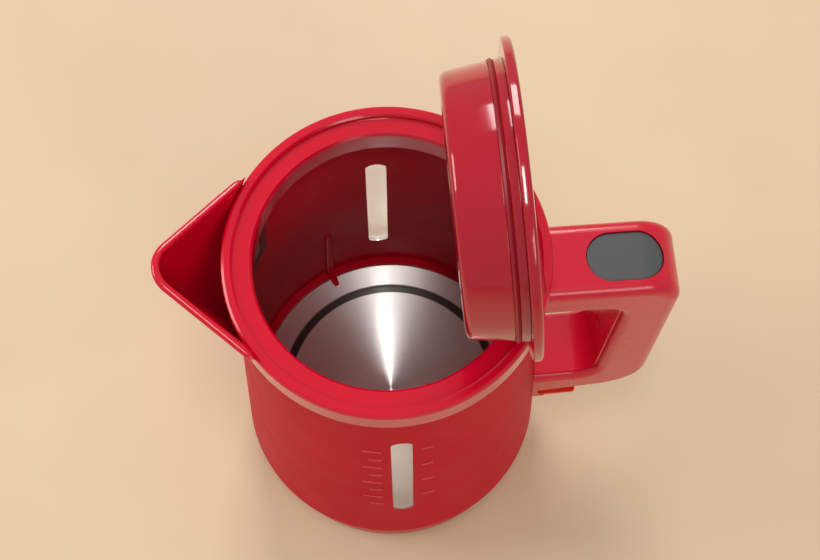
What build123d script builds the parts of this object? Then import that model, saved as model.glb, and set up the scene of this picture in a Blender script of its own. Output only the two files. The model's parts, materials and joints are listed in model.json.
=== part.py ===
"""Electric kettle: a plastic jug with a sprung lid, standing on a round power base.

Millimetres, +Z up. The origin is the centre of the power base's underside. +X points to the handle
and -X to the spout. The jug is drawn with its lid held open by the lid spring.
"""

import os
from math import cos, pi, radians, sin, sqrt, tan

from build123d import *

os.makedirs("parts", exist_ok=True)

# ---------------------------------------------------------------- driving dimensions
# Clearances
running_gap = 0.3  # between pieces that move past each other
assembly_gap = 0.1  # between pieces that are fixed together
pin_clearance = 0.06  # radial, pin in a turning bore
fixed_clearance = 0.02  # radial, pin in its fixed seat

# Jug, measured from its foot
jug_height = 200.0  # foot to the collar's rim
opening_radius = 52.5  # clear opening inside the collar
seat_width = 7.5  # ledge that the lid lies on
rim_width = 4.6  # raised rim outside the ledge
rim_height = 2.0  # rim above the ledge
collar_overhang = 4.1  # collar rim outside the body's top
collar_height = 10.0  # body's top edge to the rim
collar_skirt = 2.5  # collar skirt outside the body, below the body's top edge
collar_sleeve = 14.0  # depth of the collar's inner sleeve
body_flare = 6.9  # foot radius over top radius
body_wall = 2.6
foot_rounding = 12.0
floor_height = 20.5  # heater plate's upper face

# Jug body's details
flange_rise = 1.2  # flange's underside above the heater plate
flange_thickness = 2.5
flange_width = 3.5
foot_lip = 1.4  # foot's flat lip inside its rounding
latch_slot_low = 27.3  # slot's lower edge below the rim
latch_slot_high = 23.2
latch_slot_width = 13.0
wire_hole = (8.0, 5.0)  # width and height of the hole for the switch's wires
wire_level = 8.5  # hole's middle above the foot
steam_drop = 36.5  # steam hole below the rim
steam_y = 9.0
steam_radius = 2.4
pour_low = 56.0  # pouring window's lower edge below the rim
pour_high = 18.0

# Spout
spout_reach = 24.9  # nose beyond the collar's rim
spout_rise = 12.0  # nose above the rim
spout_nose = 12.5  # plan radius of the nose
spout_wall = 2.4
spout_depth = 70.0  # rim to the point where the keel meets the body
spout_half_angle = 42.6  # between the middle and each side of the beak
spout_keel = 3.0  # keel outside the body's top radius at its lower end
spout_narrowing = 0.35  # share of the nose's radius lost at the keel's lower end
spout_sections = 5
pour_land = 0.8  # pouring window inside the spout's channel

# Lid
lid_open_angle = 87.0
lid_cover_radius = 59.4
lid_cover_rise = 3.0  # cover's edge above the hinge axis
lid_dome = 2.2
plug_depth = 24.0  # plug's underside below the hinge axis
plug_wall = 2.0
plug_draft = 3.2  # plug's radius lost from top to bottom
hinge_inset = 1.5  # hinge axis inside the opening's edge
hinge_drop = 1.0  # hinge axis below the rim
hinge_pin_radius = 1.6
hinge_barrel_radius = 4.0
hinge_barrel_half = 20.3  # half the barrel's width
spring_pocket_half = 5.9  # half the pocket in the barrel's middle
hinge_face = 7.0  # cover's straight edge, inside the hinge axis

# Handle
handle_reach = 51.1  # grip's outer face beyond the foot radius
handle_width = 32.0
handle_wall = 2.5
handle_edge = 5.0  # rounding of its long edges
handle_top_drop = 20.0  # top arm's upper face below the rim, at the body
top_arm_thickness = 21.5
grip_thickness = 23.5
low_arm_top = 66.0  # lower arm's upper face above the foot
low_arm_bottom = 43.0
cover_clearance = 0.2  # inner cover inside the handle's side walls

# Release button and latch
button_length = 31.0
button_width = 20.0
button_recess = 0.8
button_thickness = 6.0
button_gap = 0.4
button_travel = 2.5
button_end_inset = 7.5  # button's outer end inside the grip's outer face

# Switch
switch_thickness = 3.6
switch_pin_radius = 1.0

# Power base
base_height = 17.0
base_inset = 4.4  # base's radius inside the jug's foot radius
base_wall = 2.2
foot_ring_height = 1.2
tower_radius = 14.2
tower_height = 10.0  # above the base's top
gland_bore = 3.5

# Water windows
window_width = 9.0
window_bottom = 50.0
window_top = 152.0
window_margin = 3.0  # blank beyond the slot's ends that the insert is cut from

# ---------------------------------------------------------------- derived sizes
foot_z = base_height + running_gap
collar_radius = opening_radius + seat_width + rim_width
seat_radius = opening_radius + seat_width
body_top_radius = collar_radius - collar_overhang
body_foot_radius = body_top_radius + body_flare
body_top = jug_height - collar_height
seat_height = jug_height - rim_height
hinge_x = opening_radius - hinge_inset
hinge_height = jug_height - hinge_drop
plug_radius = opening_radius - 0.5
grip_x = body_foot_radius + handle_reach
handle_half = handle_width / 2
base_radius = body_foot_radius - base_inset
arm_top = jug_height - handle_top_drop

jug_floor = Plane.XY.offset(foot_z)
jug_section = Plane(origin=(0, 0, foot_z), x_dir=(1, 0, 0), z_dir=(0, -1, 0))


def wall_radius(height, inset=0.0):
    """Radius of the body's tapered wall at a height above the foot, less an inset."""
    share = (height - foot_rounding) / (body_top - foot_rounding)
    return body_foot_radius + share * (body_top_radius - body_foot_radius) - inset


def level(height):
    """Horizontal plane at a height above the jug's foot."""
    return jug_floor.offset(height)


def turned(*points):
    """Ring or disc turned from its half section."""
    with BuildSketch(jug_section) as section:
        with BuildLine():
            Polyline(*points, close=True)
        make_face()
    revolve(section.sketch, axis=Axis.Z)


def cut_envelope(clearance):
    """Cut away everything inside the body's outer wall, grown by a clearance."""
    foot = body_foot_radius + clearance
    with BuildSketch(jug_section) as section:
        with BuildLine():
            Polyline(
                (0, -base_height),
                (foot, -base_height),
                (foot, foot_rounding),
                (body_top_radius + clearance, body_top),
                (0, body_top),
                close=True,
            )
        make_face()
    revolve(section.sketch, axis=Axis.Z, mode=Mode.SUBTRACT)


def side_block(plane_y, half_width, *points, mode=Mode.ADD):
    """Block drawn from the side, with its middle at plane_y."""
    with BuildSketch(jug_section.offset(-plane_y)) as side:
        with BuildLine():
            Polyline(*points, close=True)
        make_face()
    extrude(side.sketch, amount=half_width, both=True, mode=mode)


def beak_outline(height, inset):
    """Plan of the spout at a height: a rounded nose opening backwards."""
    share = (beak_top - height) / (beak_top - beak_bottom)
    keel = body_top_radius + spout_keel
    reach = keel + (collar_radius + spout_reach - keel) * (1 + cos(pi * share)) / 2
    nose = spout_nose * (1 - spout_narrowing * share)
    slope = radians(spout_half_angle)
    corner = reach - nose + (nose - inset) / sin(slope)
    back = opening_radius * 0.75
    half = (corner - back) * tan(slope)
    with BuildSketch(level(height)) as outline:
        with BuildLine():
            sides = FilletPolyline((-back, half), (-corner, 0), (-back, -half), radius=nose - inset)
            Line(sides @ 1, sides @ 0)
        make_face()
    return outline.sketch


def beak(low, high, inset, mode=Mode.ADD):
    """Stretch of the spout between two heights, inset from its outer face."""
    steps = [high - (high - low) * step / (spout_sections - 1) for step in range(spout_sections)]
    loft([beak_outline(height, inset) for height in steps], mode=mode)


# ---------------------------------------------------------------- jug body and spout
flange_bottom = floor_height + flange_rise
flange_top = flange_bottom + flange_thickness
flange_radius = wall_radius(floor_height, body_wall) - flange_width
lip_radius = body_foot_radius - foot_rounding - foot_lip
pour_bottom = jug_height - pour_low
pour_top = jug_height - pour_high
beak_top = jug_height + spout_rise + 2.0
beak_bottom = jug_height - spout_depth
steam_level = jug_height - steam_drop
latch_low = jug_height - latch_slot_low
latch_high = jug_height - latch_slot_high

with BuildPart() as jug_body:
    beak(beak_bottom, beak_top, 0.0)
    beak(beak_bottom, beak_top, spout_wall, mode=Mode.SUBTRACT)
    # The edge rises from the collar to the nose.
    spout_root = opening_radius * 0.9
    nose_x = collar_radius + spout_reach
    rise_rate = spout_rise / (nose_x - spout_root)
    above = jug_height + spout_rise * 3
    side_block(
        0,
        collar_radius * 1.5,
        (0, jug_height),
        (-spout_root, jug_height),
        (-nose_x * 1.2, jug_height + (nose_x * 1.2 - spout_root) * rise_rate),
        (-nose_x * 1.2, above),
        (0, above),
        mode=Mode.SUBTRACT,
    )
    # Room for the body's inside and for the collar.
    cut_envelope(0.0)
    with BuildSketch(level(body_top - collar_skirt - assembly_gap)):
        Circle(collar_radius + assembly_gap)
    extrude(amount=above, mode=Mode.SUBTRACT)
    # The wall, with its rounded foot and the flange that the heater plate seals against.
    corner = foot_rounding * cos(pi / 4)
    foot_centre = body_foot_radius - foot_rounding
    inner_corner = (foot_rounding - body_wall) * cos(pi / 4)
    with BuildSketch(jug_section):
        with BuildLine():
            Line((lip_radius, 0), (foot_centre, 0))
            ThreePointArc(
                (foot_centre, 0),
                (foot_centre + corner, foot_rounding - corner),
                (body_foot_radius, foot_rounding),
            )
            Polyline(
                (body_foot_radius, foot_rounding),
                (body_top_radius, body_top),
                (body_top_radius - body_wall, body_top),
                (wall_radius(flange_top, body_wall), flange_top),
                (flange_radius, flange_top),
                (flange_radius, flange_bottom),
                (wall_radius(flange_bottom, body_wall), flange_bottom),
                (body_foot_radius - body_wall, foot_rounding),
            )
            ThreePointArc(
                (body_foot_radius - body_wall, foot_rounding),
                (foot_centre + inner_corner, foot_rounding - inner_corner),
                (foot_centre, body_wall),
            )
            Polyline((foot_centre, body_wall), (lip_radius, body_wall), (lip_radius, 0))
        make_face()
    revolve(axis=Axis.Z)
    # Pouring window from the jug into the spout.
    beak(pour_bottom, pour_top, spout_wall + pour_land, mode=Mode.SUBTRACT)
    # Slots of the two water windows.
    with BuildSketch(Plane.XZ.offset(-body_foot_radius)):
        with Locations((0, foot_z + (window_bottom + window_top) / 2)):
            SlotOverall(window_top - window_bottom, window_width, rotation=90)
    extrude(amount=2 * body_foot_radius, mode=Mode.SUBTRACT)
    # Slot for the latch and hole for the switch's wires.
    with BuildSketch(Plane.YZ.offset(opening_radius)):
        with Locations((0, foot_z + (latch_low + latch_high) / 2)):
            Rectangle(latch_slot_width, latch_high - latch_low)
        with Locations((0, foot_z + wire_level)):
            RectangleRounded(*wire_hole, 2.0)
        with Locations((steam_y, foot_z + steam_level)):
            Circle(steam_radius + fixed_clearance)
    extrude(amount=body_foot_radius, mode=Mode.SUBTRACT)

# Clear inserts that fill the two slots, one on each side of the jug.
blank_bottom = window_bottom - window_margin
blank_top = window_top + window_margin
windows = {}
for window_name, facing in (("window_near", -1), ("window_far", 1)):
    with BuildPart() as windows[window_name]:
        turned(
            (wall_radius(blank_bottom), blank_bottom),
            (wall_radius(blank_top), blank_top),
            (wall_radius(blank_top, body_wall), blank_top),
            (wall_radius(blank_bottom, body_wall), blank_bottom),
        )
        with BuildSketch(Plane.XZ):
            with Locations((0, foot_z + (window_bottom + window_top) / 2)):
                SlotOverall(
                    window_top - window_bottom - assembly_gap,
                    window_width - assembly_gap,
                    rotation=90,
                )
        extrude(amount=-facing * body_foot_radius, mode=Mode.INTERSECT)

# ---------------------------------------------------------------- collar
sleeve_wall = 2.0
rim_edge = 1.4  # rounding of the rim's outer edge
seat_edge = 0.9  # bevel inside the rim and at the opening
skirt_bottom = body_top - collar_skirt
skirt_inside = body_top_radius + 0.4
notch_half = hinge_barrel_half + running_gap
barrel_room = hinge_barrel_radius + 1.0
shoulder_rise = 2.0  # shoulders above the rim
shoulder_root = 1.0  # shoulders below the seat
shoulder_top = jug_height + shoulder_rise
shoulder_inside = opening_radius + 1.4  # clear of the plug's edge as the lid swings
pin_half = hinge_barrel_half + 6.7

with BuildPart() as collar_ring:
    turned(
        (collar_radius, skirt_bottom),
        (collar_radius, jug_height - rim_edge),
        (collar_radius - 0.3 * rim_edge, jug_height - 0.3 * rim_edge),
        (collar_radius - rim_edge, jug_height),
        (seat_radius + seat_edge, jug_height),
        (seat_radius + 0.1, jug_height - 0.6),
        (seat_radius, seat_height),
        (opening_radius + seat_edge, seat_height),
        (opening_radius, seat_height - seat_edge),
        (opening_radius, jug_height - collar_sleeve),
        (opening_radius + sleeve_wall, jug_height - collar_sleeve),
        (opening_radius + sleeve_wall, body_top + assembly_gap),
        (skirt_inside, body_top + assembly_gap),
        (skirt_inside, skirt_bottom),
    )
    # Shoulders each side of the hinge carry the pin.
    with BuildSketch(level(seat_height - shoulder_root)):
        Circle(seat_radius - running_gap)
        Circle(shoulder_inside, mode=Mode.SUBTRACT)
        with Locations((seat_radius / 2 + hinge_x - hinge_face + running_gap * 5, 0)):
            Rectangle(seat_radius, 2 * seat_radius, mode=Mode.INTERSECT)
    extrude(amount=shoulder_top - seat_height + shoulder_root)
    side_block(
        0,
        notch_half,
        (hinge_x - barrel_room, hinge_height - barrel_room),
        (hinge_x + barrel_room, hinge_height - barrel_room),
        (hinge_x + barrel_room, shoulder_top + 1.0),
        (hinge_x - barrel_room, shoulder_top + 1.0),
        mode=Mode.SUBTRACT,
    )
    side_block(
        0,
        notch_half,
        (hinge_x + barrel_room - 1.0, seat_height),
        (seat_radius, seat_height),
        (seat_radius, shoulder_top + 1.0),
        (hinge_x + barrel_room - 1.0, shoulder_top + 1.0),
        mode=Mode.SUBTRACT,
    )
    with BuildSketch(Plane.XZ):
        with Locations((hinge_x, foot_z + hinge_height)):
            Circle(hinge_pin_radius + fixed_clearance)
    extrude(amount=pin_half + assembly_gap, both=True, mode=Mode.SUBTRACT)

with BuildPart() as hinge_pin:
    with BuildSketch(Plane.XZ):
        with Locations((hinge_x, foot_z + hinge_height)):
            Circle(hinge_pin_radius)
    extrude(amount=pin_half, both=True)

# ---------------------------------------------------------------- lid, drawn open
open_rad = radians(lid_open_angle)
lid_out = (cos(open_rad), 0, -sin(open_rad))  # closed +X, turned open
lid_up = (sin(open_rad), 0, cos(open_rad))  # closed +Z, turned open
hinge_point = (hinge_x, 0, foot_z + hinge_height)
# Origin on the lid's own axis, level with the hinge.
lid_plane = Plane(
    origin=tuple(hinge_point[i] - hinge_x * lid_out[i] for i in range(3)),
    x_dir=lid_out,
    z_dir=lid_up,
)
lid_section = Plane(origin=lid_plane.origin, x_dir=lid_out, z_dir=(0, -1, 0))
lid_axis = Axis(lid_plane.origin, lid_up)
cover_bottom = seat_height - hinge_height + running_gap
plug_top = cover_bottom - assembly_gap
cover_edge_x = hinge_x - hinge_face
plug_bottom_radius = plug_radius - plug_draft


def plug_radius_at(height):
    """Radius of the plug at a height measured from the hinge axis."""
    return plug_radius - plug_draft * (plug_top - height) / (plug_top + plug_depth)


def lid_turned(*points, mode=Mode.ADD):
    """Disc or ring turned about the lid's axis from its half section."""
    with BuildSketch(lid_section) as section:
        with BuildLine():
            Polyline(*points, close=True)
        make_face()
    revolve(section.sketch, axis=lid_axis, mode=mode)


def lid_block(half_width, x_low, x_high, z_low, z_high, mode=Mode.ADD):
    """Block in the lid's own frame."""
    with BuildSketch(lid_section) as side:
        with Locations(((x_low + x_high) / 2, (z_low + z_high) / 2)):
            Rectangle(x_high - x_low, z_high - z_low)
    extrude(side.sketch, amount=half_width, both=True, mode=mode)


with BuildPart() as lid_cover:
    with BuildSketch(lid_section):
        with BuildLine():
            Line((0, cover_bottom), (lid_cover_radius - 0.6, cover_bottom))
            Line((lid_cover_radius - 0.6, cover_bottom), (lid_cover_radius, cover_bottom + 0.6))
            Line((lid_cover_radius, cover_bottom + 0.6), (lid_cover_radius, lid_cover_rise - 1.6))
            ThreePointArc(
                (lid_cover_radius, lid_cover_rise - 1.6),
                (lid_cover_radius - 0.5, lid_cover_rise - 0.5),
                (lid_cover_radius - 1.6, lid_cover_rise),
            )
            dome_half = lid_cover_radius - 1.6
            dome_radius = (dome_half**2 + lid_dome**2) / (2 * lid_dome)
            dome_mid = sqrt(dome_radius**2 - dome_half**2 / 4) - dome_radius
            ThreePointArc(
                (dome_half, lid_cover_rise),
                (dome_half / 2, lid_cover_rise + lid_dome + dome_mid),
                (0, lid_cover_rise + lid_dome),
            )
            Line((0, lid_cover_rise + lid_dome), (0, cover_bottom))
        make_face()
    revolve(axis=lid_axis)
    lid_block(
        lid_cover_radius,
        cover_edge_x,
        cover_edge_x + lid_cover_radius,
        -plug_depth,
        plug_depth,
        mode=Mode.SUBTRACT,
    )

cavity_floor = -plug_depth + plug_wall
hinge_block_depth = 8.0
seal_top = -4.2
seal_height = 2.0
catch_low = -(hinge_height - (jug_height - 24.8))
catch_high = -(hinge_height - (jug_height - 20.5))

with BuildPart() as lid_plug:
    lid_turned(
        (0, -plug_depth),
        (plug_bottom_radius - 1.5, -plug_depth),
        (plug_radius_at(1.5 - plug_depth), 1.5 - plug_depth),
        (plug_radius, plug_top),
        (0, plug_top),
    )
    # Hollow under the cover; the hinge side stays solid down to the hinge block's depth.
    lid_turned(
        (0, cavity_floor),
        (plug_radius_at(cavity_floor) - plug_wall, cavity_floor),
        (plug_radius_at(-hinge_block_depth) - plug_wall, -hinge_block_depth),
        (0, -hinge_block_depth),
        mode=Mode.SUBTRACT,
    )
    with BuildSketch(lid_plane.offset(-hinge_block_depth)):
        Circle(plug_radius_at(-hinge_block_depth) - plug_wall)
        with Locations((cover_edge_x - plug_wall - plug_radius, 0)):
            Rectangle(2 * plug_radius, 2 * plug_radius, mode=Mode.INTERSECT)
    extrude(amount=hinge_block_depth, mode=Mode.SUBTRACT)
    # Seal groove.
    lid_turned(
        (plug_radius + 1, seal_top + 0.1),
        (plug_radius_at(seal_top) - 0.8, seal_top + 0.1),
        (plug_radius_at(seal_top) - 0.8, seal_top - seal_height - 0.1),
        (plug_radius + 1, seal_top - seal_height - 0.1),
        mode=Mode.SUBTRACT,
    )
    # Hinge barrel with its spring pocket.
    with BuildSketch(lid_section):
        with Locations((hinge_x, 0)):
            Circle(hinge_barrel_radius)
    extrude(amount=hinge_barrel_half, both=True)
    lid_block(
        spring_pocket_half,
        hinge_x - 9.0,
        hinge_x + 6.0,
        -3.8,
        plug_depth,
        mode=Mode.SUBTRACT,
    )
    with BuildSketch(lid_section):
        with Locations((hinge_x, 0)):
            Circle(hinge_pin_radius + pin_clearance)
    extrude(amount=plug_radius, both=True, mode=Mode.SUBTRACT)
    # Recess that the latch nose enters when the lid is shut.
    lid_block(
        6.0,
        plug_radius_at(catch_low) - 1.2,
        plug_radius + 2.0,
        catch_low,
        catch_high,
        mode=Mode.SUBTRACT,
    )

with BuildPart() as lid_seal:
    lid_turned(
        (plug_radius_at(seal_top) - 0.7, seal_top),
        (plug_radius - 0.6, seal_top),
        (plug_radius + 0.05, seal_top - seal_height / 2),
        (plug_radius - 0.6, seal_top - seal_height),
        (plug_radius_at(seal_top) - 0.7, seal_top - seal_height),
    )

spring_wire = 0.5
spring_coil_radius = 2.9
spring_turns = 7
spring_length = 9.0
with BuildPart() as lid_spring:
    with BuildLine():
        coil = Helix(
            spring_length / spring_turns,
            spring_length,
            spring_coil_radius,
            center=(hinge_point[0], -spring_length / 2, hinge_point[2]),
            direction=(0, 1, 0),
        )
    with BuildSketch(Plane(origin=coil @ 0, z_dir=coil % 0)):
        Circle(spring_wire)
    sweep(is_frenet=True)

# ---------------------------------------------------------------- filter in the pouring window
filter_thickness = 2.0
filter_half_angle = 33.0
filter_bottom = pour_bottom - 3.0
filter_top = pour_top + 1.5
filter_bar = 4.0  # width of the frame's bars
filter_inset = body_wall + running_gap


def filter_segment(inset, thickness, low, high, half_angle, mode=Mode.ADD):
    """Piece of a tapered ring that follows the body's wall behind the spout."""
    start = radians(180 - half_angle)
    plane = Plane(
        origin=(0, 0, foot_z), x_dir=(cos(start), sin(start), 0), z_dir=(sin(start), -cos(start), 0)
    )
    with BuildSketch(plane) as section:
        with BuildLine():
            Polyline(
                (wall_radius(low, inset), low),
                (wall_radius(high, inset), high),
                (wall_radius(high, inset + thickness), high),
                (wall_radius(low, inset + thickness), low),
                close=True,
            )
        make_face()
    revolve(section.sketch, axis=Axis.Z, revolution_arc=2 * half_angle, mode=mode)


bar_angle = filter_bar / opening_radius * 180 / pi
with BuildPart() as filter_frame:
    filter_segment(filter_inset, filter_thickness, filter_bottom, filter_top, filter_half_angle)
    filter_segment(
        filter_inset - 1,
        filter_thickness + 2,
        filter_bottom + filter_bar,
        filter_top - filter_bar,
        filter_half_angle - bar_angle,
        mode=Mode.SUBTRACT,
    )

with BuildPart() as filter_mesh:
    filter_segment(
        filter_inset + 0.8,
        0.4,
        filter_bottom + filter_bar + assembly_gap,
        filter_top - filter_bar - assembly_gap,
        filter_half_angle - bar_angle - 0.1,
    )

# ---------------------------------------------------------------- heater under the floor
plate_radius = flange_radius + 1.9
plate_thickness = 0.8
groove_inner = opening_radius - 5.0
groove_outer = opening_radius - 1.0
groove_depth = 2.0
seal_outer = wall_radius(floor_height, body_wall) - 0.15

with BuildPart() as heater_plate:
    under = floor_height - plate_thickness
    turned(
        (0, floor_height),
        (groove_inner, floor_height),
        (groove_inner + 0.7, floor_height - groove_depth),
        (groove_outer - 0.7, floor_height - groove_depth),
        (groove_outer, floor_height),
        (plate_radius, floor_height),
        (plate_radius, under),
        (groove_outer + 0.7, under),
        (groove_outer, under - groove_depth),
        (groove_inner, under - groove_depth),
        (groove_inner - 0.7, under),
        (0, under),
    )

with BuildPart() as plate_seal:
    turned(
        (plate_radius - 1.6, floor_height),
        (plate_radius - 1.6, flange_bottom),
        (seal_outer, flange_bottom),
        (seal_outer, floor_height - 2.2),
        (plate_radius - 1.6, floor_height - 2.2),
        (plate_radius - 1.6, floor_height - plate_thickness),
        (plate_radius, floor_height - plate_thickness),
        (plate_radius, floor_height),
    )

clamp_top = floor_height - 2.2
clamp_thickness = 2.5
arm_count = 3
arm_start = 60.0
boss_circle = body_foot_radius - 17.5
cover_thickness = 2.2
cover_lift = 0.4  # bottom cover's underside above the foot
cover_top = cover_lift + cover_thickness
screw_radius = 1.5
screw_head_radius = 3.0
screw_head_height = 1.0
screw_recess = 3.1  # radius of the recess round a head
screw_post = 3.6

with BuildPart() as clamp_ring:
    turned(
        (plate_radius - 4.0, clamp_top),
        (seal_outer, clamp_top),
        (seal_outer, clamp_top - clamp_thickness),
        (plate_radius - 4.0, clamp_top - clamp_thickness),
    )
    with BuildSketch(level(cover_top)):
        with PolarLocations(boss_circle, arm_count, start_angle=arm_start):
            Circle(screw_post)
    extrude(amount=clamp_top - clamp_thickness - cover_top + 1.0)
    with BuildSketch(level(clamp_top - clamp_thickness - 1.0)):
        with PolarLocations((boss_circle + plate_radius) / 2, arm_count, start_angle=arm_start):
            Rectangle(plate_radius - boss_circle, 5.0)
    extrude(amount=clamp_thickness)
    with BuildSketch(level(cover_top)):
        with PolarLocations(boss_circle, arm_count, start_angle=arm_start):
            Circle(screw_radius + fixed_clearance)
    extrude(amount=9.0, mode=Mode.SUBTRACT)

spreader_thickness = 2.5
spreader_radius = groove_inner - 3.0
spreader_bottom = floor_height - plate_thickness - spreader_thickness
with BuildPart() as heat_spreader:
    with BuildSketch(level(spreader_bottom)):
        Circle(spreader_radius)
    extrude(amount=spreader_thickness)

element_radius = 3.3
element_circle = 35.0
element_height = spreader_bottom - element_radius - 0.05
element_arc = 300.0
with BuildPart() as heating_element:
    with BuildSketch(jug_section.rotated((0, 0, -150))):
        with Locations((element_circle, element_height)):
            Circle(element_radius)
    revolve(axis=Axis.Z, revolution_arc=element_arc)

# Cold pins at the element's two ends, reaching down to the controller.
pin_radius = 1.1
pin_length = 6.0
with BuildPart() as element_pins:
    for side in (-1, 1):
        pin_angle = radians(180 + side * (360 - element_arc) / 4)
        with BuildSketch(level(element_height - pin_length)):
            with Locations((element_circle * cos(pin_angle), element_circle * sin(pin_angle))):
                Circle(pin_radius)
        extrude(amount=pin_length + element_radius)

control_radius = element_circle - element_radius - 2.5
control_bottom = 3.2
control_top = spreader_bottom - 1.6
socket_outer = tower_radius + 2.8
socket_roof = 1.6
socket_top = tower_height + socket_roof + 0.6
with BuildPart() as control_housing:
    with BuildSketch(level(control_bottom)):
        Circle(control_radius)
        with Locations((-element_circle, 0)):
            RectangleRounded(14.0, 24.0, 2.0)
        with Locations((-element_circle + 5, 0)):
            Rectangle(10.0, 16.0)
    extrude(amount=element_height - element_radius - 0.5 - control_bottom)
    with BuildSketch(level(control_bottom)):
        Circle(control_radius)
    extrude(amount=control_top - control_bottom)
    with BuildSketch(level(control_bottom)):
        Circle(socket_outer + running_gap)
    extrude(amount=socket_top + running_gap - control_bottom, mode=Mode.SUBTRACT)
    for side in (-1, 1):
        pin_angle = radians(180 + side * (360 - element_arc) / 4)
        with BuildSketch(level(element_height - pin_length)):
            with Locations((element_circle * cos(pin_angle), element_circle * sin(pin_angle))):
                Circle(pin_radius + fixed_clearance)
        extrude(amount=pin_length, mode=Mode.SUBTRACT)

# Two snap discs that cut the power when the plate runs dry.
disc_radius = 6.5
with BuildPart() as cutout_discs:
    with BuildSketch(level(control_top)):
        with Locations((0, -10.0), (0, 10.0)):
            Circle(disc_radius)
    extrude(amount=spreader_bottom - control_top - assembly_gap)

with BuildPart() as bottom_cover:
    with BuildSketch(level(cover_lift)):
        Circle(lip_radius - assembly_gap)
        Circle(socket_outer + running_gap, mode=Mode.SUBTRACT)
    extrude(amount=cover_thickness)
    with BuildSketch(level(cover_lift)):
        with PolarLocations(boss_circle, arm_count, start_angle=arm_start):
            Circle(screw_radius + fixed_clearance)
    extrude(amount=cover_thickness, mode=Mode.SUBTRACT)
    with BuildSketch(level(cover_lift)):
        with PolarLocations(boss_circle, arm_count, start_angle=arm_start):
            Circle(screw_recess)
    extrude(amount=1.2, mode=Mode.SUBTRACT)

with BuildPart() as bottom_screws:
    with BuildSketch(level(0.6)):
        with PolarLocations(boss_circle, arm_count, start_angle=arm_start):
            Circle(screw_head_radius)
    extrude(amount=screw_head_height)
    with BuildSketch(level(1.6)):
        with PolarLocations(boss_circle, arm_count, start_angle=arm_start):
            Circle(screw_radius)
    extrude(amount=8.4)

# ---------------------------------------------------------------- round connector
contact_rings = ((10.9, 1.2), (6.8, 1.2))  # mean radius and half width of each groove
contact_depth = 8.0
contact_wall = 0.5
contact_recess = 1.5  # sleeves below the tower's top
centre_bore = 3.2
centre_pin = centre_bore - contact_wall - 2 * running_gap
tower_root = 8.0  # tower below the base's top plate

socket_ceiling = socket_top - socket_roof
contact_reach = contact_depth - 1.0

with BuildPart() as connector_socket:
    turned(
        (0, socket_top),
        (socket_outer, socket_top),
        (socket_outer, cover_lift),
        (tower_radius + running_gap, cover_lift),
        (tower_radius + running_gap, socket_ceiling),
        (0, socket_ceiling),
    )

# A pin and two rings, each drawn from the outside inwards.
with BuildPart() as socket_contacts:
    with BuildSketch(level(socket_ceiling - contact_reach)):
        for ring_radius, half_groove in contact_rings:
            Circle(ring_radius)
            Circle(ring_radius - half_groove + running_gap, mode=Mode.SUBTRACT)
        Circle(centre_pin)
    extrude(amount=contact_reach)

with BuildPart() as base_connector:
    with BuildSketch(Plane.XY.offset(base_height - base_wall - tower_root)):
        Circle(tower_radius)
    extrude(amount=tower_height + base_wall + tower_root)
    fillet(base_connector.edges().filter_by(GeomType.CIRCLE).sort_by(Axis.Z)[-1], 1.0)
    with BuildSketch(Plane.XY.offset(base_height + tower_height)):
        for ring_radius, half_groove in contact_rings:
            Circle(ring_radius + half_groove)
            Circle(ring_radius - half_groove, mode=Mode.SUBTRACT)
        Circle(centre_bore)
    extrude(amount=-contact_depth, mode=Mode.SUBTRACT)

# Sleeves that line the tower's grooves and its centre bore.
with BuildPart() as base_contacts:
    with BuildSketch(Plane.XY.offset(base_height + tower_height - contact_depth)):
        for sleeve_radius in (*(middle + half for middle, half in contact_rings), centre_bore):
            Circle(sleeve_radius)
            Circle(sleeve_radius - contact_wall, mode=Mode.SUBTRACT)
    extrude(amount=contact_depth - contact_recess)

# ---------------------------------------------------------------- power base
plate_bottom = foot_ring_height
plate_height = 2.0
base_boss_circle = base_radius - 12.0
base_screw_start = 30
base_screw_length = 8.0
foot_circle = base_radius - 6.4
foot_half = 2.0  # half width of the rubber ring
foot_seat = 1.0  # ring's depth in the base plate
gland_radius = 6.0
gland_height = base_height / 2
gland_length = 9.0
gland_flange = 1.6

with BuildPart() as base_cover:
    with BuildSketch(Plane.XY.offset(plate_bottom)):
        Circle(base_radius)
    extrude(amount=base_height - plate_bottom)
    fillet(base_cover.edges().filter_by(GeomType.CIRCLE).sort_by(Axis.Z)[-1], 3.5)
    with BuildSketch(Plane.XY.offset(plate_bottom)):
        Circle(base_radius - base_wall)
    extrude(amount=base_height - base_wall - plate_bottom, mode=Mode.SUBTRACT)
    with BuildSketch(Plane.XY):
        Circle(tower_radius + fixed_clearance)
    extrude(amount=2 * base_height, mode=Mode.SUBTRACT)
    with BuildSketch(Plane.XY.offset(plate_bottom + plate_height + 0.3)):
        with PolarLocations(base_boss_circle, arm_count, start_angle=base_screw_start):
            Circle(screw_post)
    extrude(amount=base_height - base_wall - plate_bottom - plate_height - 0.3)
    with BuildSketch(Plane.XY.offset(plate_bottom)):
        with PolarLocations(base_boss_circle, arm_count, start_angle=base_screw_start):
            Circle(screw_radius + fixed_clearance)
    extrude(amount=base_height - base_wall - plate_bottom - 1.0, mode=Mode.SUBTRACT)
    with BuildSketch(Plane.XZ.offset(-base_radius - 3.0)):
        with Locations((0, gland_height)):
            Circle(gland_radius - gland_flange + fixed_clearance)
    extrude(amount=9.0, mode=Mode.SUBTRACT)

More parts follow.
